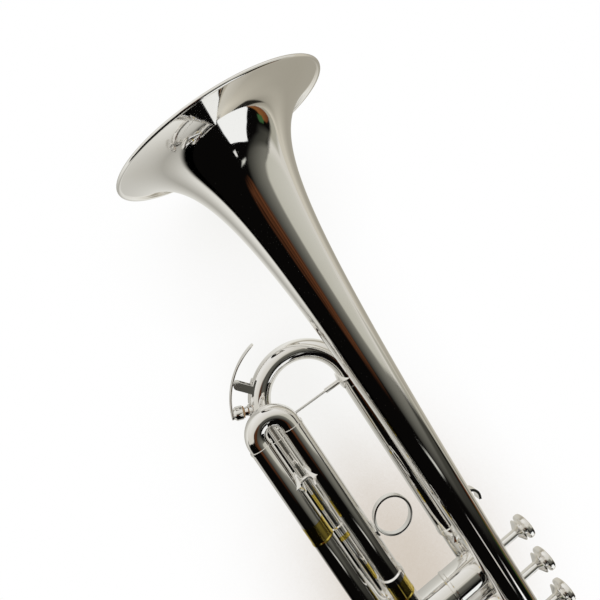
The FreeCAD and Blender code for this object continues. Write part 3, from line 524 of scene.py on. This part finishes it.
def makeSpring(number, look=springShape):
    # A round wire along a helix: angle grows evenly, height runs slowly over the closed share at each end.
    low, high = (np.array(corner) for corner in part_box(f"valve_{number}_spring"))
    middle = (low + high) / 2
    radius = (high[0] - low[0]) / 2 - look["wire"]
    share = np.linspace(0.0, 1.0, look["turns"] * look["perTurn"] + 1)
    rise = np.interp(share, [0.0, look["closed"], 1.0 - look["closed"], 1.0],
                     [0.0, look["closedRise"], 1.0 - look["closedRise"], 1.0])
    height = low[2] + look["wire"] + (high[2] - low[2] - 2 * look["wire"]) * rise
    turn = 2 * np.pi * look["turns"] * share
    outward = np.stack([np.cos(turn), np.sin(turn), 0.0 * turn], -1)
    centres = outward * radius + np.stack([middle[0] + 0.0 * turn, middle[1] + 0.0 * turn, height], -1)
    centres, outward = (np.concatenate([row[:1], row, row[-1:]]) for row in (centres, outward))
    wire = np.full(len(centres), look["wire"])
    wire[[0, -1]] = 0.0
    angle = np.linspace(0.0, 2 * np.pi, look["around"], endpoint=False)[:, None]
    section = outward[:, None] * np.cos(angle) + np.array([0.0, 0.0, 1.0]) * np.sin(angle)
    grid = centres[:, None] + section * wire[:, None, None]
    made = closedPiece(f"valveSpring{number}", grid, False, "spring_steel")
    body = f"valve_{number}"
    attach(made, body)
    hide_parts(f"{body}_spring")
    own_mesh(made)


for valve in (1, 2, 3):
    makeSpring(valve)
print("springs made")

worldLook = {"seen": (0.975, 0.972, 0.968), "light": (0.66, 0.64, 0.585)}


def makeWorld(look=worldLook):
    # Nearly white to the camera, a softer level to the light that reaches the object.
    world = bpy.data.worlds.new("studio")
    bpy.context.scene.world = world
    graph = Graph(world)
    camera = graph.node("ShaderNodeLightPath", output="Is Camera Ray")
    back = graph.tree.nodes["Background"]
    graph.feed(back.inputs["Color"], graph.mixColor(camera, look["light"], look["seen"]))


# Reflected surroundings: patches of a sphere round the bell's throat. Bearing 0 looks along +Y and grows
# towards +X, height is the angle above the horizon. Each edge row is a bearing with the patch's lowest
# and highest height there. Soft is the share of the patch over which its rim fades away.
reflectionCentre = (0.40, 0.04, 0.0)
patchSteps = 61
surroundings = {
    "darkRoom": {
        "radius": 2.3, "soft": 0.03, "color": (0.0025, 0.0022, 0.002),
        "edges": [(-150, -88, 4), (-113, -88, 5), (-101, -88, 7), (-98, -88, 26), (-95, -88, 40),
                  (-91, -88, 54), (-84, -88, 60), (-75, -88, 62), (-60, -88, 59), (-50, -88, 56),
                  (-40, -88, 50), (-33, -86, 42), (-26, -85, 26), (-20, -82, -2), (-6, -74, -4)]},
    "window": {
        "radius": 2.1, "soft": 0.03, "color": (0.92, 0.93, 0.92),
        "edges": [(-109, 7, 22), (-101, 5, 24), (-95, 3, 27), (-75, -1, 26), (-58, -3, 22), (-50, 18, 20)]},
    "doorway": {
        "radius": 2.1, "soft": 0.12, "color": (0.24, 0.10, 0.03), "top": (0.11, 0.03, 0.012),
        "edges": [(-99, 22, 28), (-95, 29, 42), (-91, 34, 53), (-85, 40, 54), (-79, 47, 52)]},
    "greenThing": {
        "radius": 2.08, "soft": 0.2, "color": (0.04, 0.10, 0.035),
        "edges": [(-87, 36, 42), (-80, 38, 48), (-74, 42, 48)]},
    "glint": {
        "radius": 2.08, "soft": 0.35, "color": (0.6, 0.6, 0.55),
        "edges": [(-38, -4, 6), (-36, -8, 5), (-34, -13, -2)]},
    "lamp": {
        "radius": 2.08, "soft": 0.2, "color": (0.75, 0.75, 0.72),
        "edges": [(-50, -7, -2), (-44, -8, -4), (-42, -7, -5)]},
    "greyWall": {
        "radius": 2.2, "soft": 0.14, "color": (0.008, 0.008, 0.006), "top": (0.21, 0.205, 0.175),
        "edges": [(-50, 26, 56), (-42, 12, 53), (-36, 2, 47), (-28, -6, 36), (-22, -12, 29),
                  (-14, -16, 24), (-4, -18, 22), (6, -14, 14)]},
    "greyCorner": {
        "radius": 2.22, "soft": 0.3, "color": (0.015, 0.015, 0.013), "top": (0.075, 0.073, 0.06),
        "edges": [(-74, 38, 60), (-60, 34, 60), (-48, 18, 57), (-38, 4, 50)]},
    "brownShelf": {
        "radius": 2.15, "soft": 0.2, "color": (0.05, 0.018, 0.008), "top": (0.14, 0.05, 0.02), "grain": 0.75,
        "edges": [(-29, -19, -10), (-24, -28, -7), (-16, -38, -6), (-3, -36, -8), (8, -30, -12)]},
    "paleWall": {
        "radius": 2.4, "soft": 0.2, "color": (0.44, 0.43, 0.36), "top": (0.62, 0.61, 0.55),
        "edges": [(-48, 36, 84), (-36, 14, 84), (-20, -8, 84), (0, -8, 84), (16, -8, 84)]},
    "dimCorner": {
        "radius": 2.35, "soft": 0.2, "color": (0.34, 0.325, 0.26), "top": (0.42, 0.41, 0.35),
        "edges": [(-124, 20, 66), (-104, 26, 70), (-96, 34, 73), (-84, 48, 74), (-66, 54, 74),
                  (-54, 52, 72)]},
    "brightSide": {
        "radius": 2.6, "soft": 0.3, "color": (0.82, 0.81, 0.78),
        "edges": [(10, -60, 60), (60, -86, 86), (110, -86, 86), (150, -86, 86), (200, -86, 86)]},
}


def showToReflectionsOnly(made):
    # Keeps a glowing surface out of the camera's view, the diffuse light and the shadows.
    made.visible_camera = False
    made.visible_diffuse = False
    made.visible_shadow = False


def glowPiece(name, grid, tint, fade=None):
    # A surface that gives light of its points' tint; fade thins it from clear at 0 to full at 1.
    made = gridPiece(name, grid, False, False)
    tint = np.concatenate([tint, np.ones_like(tint[..., :1])], -1)
    made.data.attributes.new("tint", "FLOAT_COLOR", "POINT").data.foreach_set("color", tint.ravel())
    material = bpy.data.materials.new(name)
    graph = Graph(material)
    graph.tree.nodes.remove(graph.tree.nodes["Principled BSDF"])
    color = graph.node("ShaderNodeAttribute", {"attribute_name": "tint"}, output="Color")
    shader = graph.node("ShaderNodeEmission", {}, {"Color": color})
    if fade is not None:
        made.data.attributes.new("fade", "FLOAT", "POINT").data.foreach_set("value", fade.ravel())
        thin = graph.node("ShaderNodeAttribute", {"attribute_name": "fade"}, output="Fac")
        shader = graph.mixShader(thin, graph.node("ShaderNodeBsdfTransparent"), shader)
    graph.show(shader)
    made.data.materials.append(material)
    showToReflectionsOnly(made)


# Waves per patch in radians, as (up, across); the first wave is bent by a third one.
shelfGrain = {"first": 19.0, "bend": 2.0, "bending": (7.0, 5.0), "second": (11.0, 4.0)}


def woodGrain(across, up, look=shelfGrain):
    # The size of the product of two sine waves that climb the patch.
    bending, second = (look[key][0] * up + look[key][1] * across for key in ("bending", "second"))
    return np.abs(np.sin(look["first"] * up + look["bend"] * np.sin(bending)) * np.sin(second))


def surroundingPatch(name, values):
    # A part of a sphere: the sine and cosine of bearing and height, with the height running between
    # the patch's lower and upper edge. The color runs from the lower edge's to the upper edge's.
    bearings, lows, highs = (np.array(column, float) for column in zip(*values["edges"]))
    share = np.linspace(0.0, 1.0, patchSteps)
    across = bearings[0] + (bearings[-1] - bearings[0]) * share
    up = share[:, None]
    low = np.interp(across, bearings, lows)
    high = np.interp(across, bearings, highs)
    height = np.radians(low + (high - low) * up)
    bearing = np.radians(across + 0.0 * up)
    level = np.cos(height)
    grid = np.stack([np.sin(bearing) * level, np.cos(bearing) * level, np.sin(height)], -1)
    rim = np.minimum(np.minimum(share, 1.0 - share), np.minimum(up, 1.0 - up)) / values["soft"]
    blend = up + 0.0 * share
    first, last = np.array(values["color"]), np.array(values.get("top", values["color"]))
    tint = first + (last - first) * blend[..., None]
    tint = tint * (1.0 - values.get("grain", 0.0) * woodGrain(share, blend))[..., None]
    grid = grid * values["radius"] + np.array(reflectionCentre)
    glowPiece(name, grid, tint, np.clip(rim, 0.0, 1.0))


tableTop = {
    "gap": 0.004, "size": 3.0, "color": (0.82, 0.80, 0.78), "second": (0.76, 0.74, 0.72), "roughness": 0.9,
    "scale": 40.0, "detail": 3.0, "bellShade": (0.82, 0.81, 0.78), "valveShade": (0.58, 0.50, 0.41),
    "shadeSpan": (0.215, 0.315), "shadeReach": 0.10, "shadeBand": (0.2, 1.0), "samples": 12,
}
# Light on the reflected table: rows of Z with the level towards the mouthpiece end and the level towards
# the bell, which blend over the span of X called towards. The side past the mouthpiece is dark: where Z is
# negative up to X of spread times the root of -Z, and else up to the second edge, (start, slope by Z).
# From softStart at that edge the light grows over soft, to the softPower. Corner is one more dark place,
# short of its X between its two Z. Green and blue are the level times (first plus second times the level),
# less the shares of warmth, which are full from warmFull of Z on.
tableGlow = {
    "lift": 0.001, "start": -0.3, "reach": 3.0, "steps": (90, 181), "crowding": (1.8, 3),
    "towards": (0.10, 0.36), "spread": 0.44, "secondEdge": (-0.02, -4.0), "soft": 0.12, "softStart": 0.35,
    "softPower": 1.5, "corner": (0.04, 0.2, 0.36), "cornerSoft": 0.05, "cornerLeast": 0.05,
    "warmth": (0.04, 0.12), "warmFull": 0.1, "green": (0.96, 0.04), "blue": (0.84, 0.12),
    "levels": [
        (-3.0, 0.7, 0.75), (-0.4, 0.4, 0.80), (-0.22, 0.4, 0.74), (-0.15, 0.36, 0.6), (-0.09, 0.36, 0.41),
        (-0.04, 0.38, 0.70), (0.0, 0.36, 0.85), (0.04, 0.58, 0.70), (0.09, 0.66, 0.38), (0.16, 0.48, 0.37),
        (0.25, 0.32, 0.46), (0.4, 0.33, 0.60), (0.8, 0.6, 0.62), (3.0, 0.56, 0.6)],
}


def reflectedTable(look=tableGlow):
    # A flat grid in X and Z just above the floor, denser near the object, with its light as said above.
    share = np.linspace(0.0, 1.0, look["steps"][0])
    x = look["start"] + (look["reach"] - look["start"]) * share ** look["crowding"][0]
    z = (look["reach"] * np.linspace(-1.0, 1.0, look["steps"][1]) ** look["crowding"][1])[:, None]
    y = cadBox[0][1] - tableTop["gap"] + look["lift"]
    grid = np.stack([x + 0.0 * z, y + 0.0 * (x + z), z + 0.0 * x], -1)
    places, far, near = (np.array(column, float) for column in zip(*look["levels"]))
    first, last = look["towards"]
    blend = np.clip((x - first) / (last - first), 0.0, 1.0)
    level = np.interp(z, places, far) * (1.0 - blend) + np.interp(z, places, near) * blend
    secondEdge = look["secondEdge"][0] + look["secondEdge"][1] * z
    edge = np.where(z < 0.0, look["spread"] * np.sqrt(np.abs(z)), secondEdge)
    level = level * np.clip((x - edge) / look["soft"] + look["softStart"], 0.0, 1.0) ** look["softPower"]
    cornerX, cornerLow, cornerHigh = look["corner"]
    darkened = level * np.clip((x - cornerX) / look["cornerSoft"], look["cornerLeast"], 1.0)
    level = np.where((z > cornerLow) & (z < cornerHigh), darkened, level)
    warm = np.clip(z / look["warmFull"], 0.0, 1.0)
    colors = [level]
    for (base, gain), loss in zip((look["green"], look["blue"]), look["warmth"]):
        colors.append(level * (base + gain * level) * (1.0 - loss * warm))
    glowPiece("reflectedTable", grid, np.stack(colors, -1))


def makeFloor(look=tableTop):
    # The pale table that the trumpet lies on with its right side; it is seen through from behind.
    # The camera sees white, darkened by the shade where the object stands close over it.
    y = cadBox[0][1] - look["gap"]
    size = look["size"]
    mesh = bpy.data.meshes.new("floor")
    corners = [(-size, y, -size), (-size, y, size), (size, y, size), (size, y, -size)]
    mesh.from_pydata(corners, [], [(0, 1, 2, 3)])
    floor = bpy.data.objects.new("floor", mesh)
    bpy.context.collection.objects.link(floor)
    made = Finish("paleTable", look["color"], 0.0, look["roughness"])
    spots = made.noise(look["scale"], look["detail"])
    made.put("Base Color", made.mixColor(spots, look["color"], look["second"]))
    openness = made.node("ShaderNodeAmbientOcclusion", {"samples": look["samples"]},
                         {"Distance": look["shadeReach"]}, "AO")
    position = made.node("ShaderNodeNewGeometry", output="Position")
    along = made.node("ShaderNodeSeparateXYZ", {}, {"Vector": position}, "X")
    shade = made.mixColor(made.band(along, *look["shadeSpan"]), look["valveShade"], look["bellShade"])
    white = made.mixColor(made.band(openness, *look["shadeBand"]), shade, (1.0, 1.0, 1.0))
    camera = made.node("ShaderNodeLightPath", output="Is Camera Ray")
    behind = made.node("ShaderNodeNewGeometry", output="Backfacing")
    glow = made.node("ShaderNodeEmission", {}, {"Color": white})
    lit = made.mixShader(camera, Sock(made, made.shader.outputs[0]), glow)
    made.show(made.mixShader(behind, lit, made.node("ShaderNodeBsdfTransparent")))
    mesh.materials.append(made.material)
    floor.visible_glossy = False


softKey = {"position": (0.3, 0.7, 0.9), "target": (0.25, 0.0, 0.0), "size": (0.9, 0.9), "power": 9.0}


def makeKeyLight(look=softKey):
    # A broad lamp aimed from its position at the target, left out of the reflections.
    light = bpy.data.lights.new("softKey", "AREA")
    light.shape = "RECTANGLE"
    light.size, light.size_y = look["size"]
    light.energy = look["power"]
    made = bpy.data.objects.new("softKey", light)
    bpy.context.collection.objects.link(made)
    ahead = Vector(look["target"]) - Vector(look["position"])
    aim = ahead.to_track_quat("-Z", "Y").to_matrix().to_4x4()
    made.matrix_world = Matrix.Translation(Vector(look["position"])) @ aim
    made.visible_glossy = False


cameraView = {
    "position": (0.4142, 0.2862, -0.0488),
    "right": (-0.54169, 0.19622, 0.81739),
    "down": (-0.83422, -0.00581, -0.55145),
    "ahead": (-0.10346, -0.98054, 0.16683),
    "lens": 27.88,
    "sensor": 36.0,
    "nearest": 0.01,
}


def makeCamera(look=cameraView):
    # The camera's own axes are right, up and back, as the columns of its turn.
    data = bpy.data.cameras.new("camera")
    data.sensor_width = look["sensor"]
    data.lens = look["lens"]
    data.clip_start = look["nearest"]
    made = bpy.data.objects.new("camera", data)
    bpy.context.collection.objects.link(made)
    right, down, ahead = (Vector(look[key]).normalized() for key in ("right", "down", "ahead"))
    turn = Matrix((right, -down, -ahead)).transposed().to_4x4()
    made.matrix_world = Matrix.Translation(Vector(look["position"])) @ turn
    bpy.context.scene.camera = made


makeWorld()
makeFloor()
for patchName, patchValues in surroundings.items():
    surroundingPatch(patchName, patchValues)
reflectedTable()
makeCamera()
makeKeyLight()
bpy.context.scene.view_settings.view_transform = "Standard"
print("studio ready")
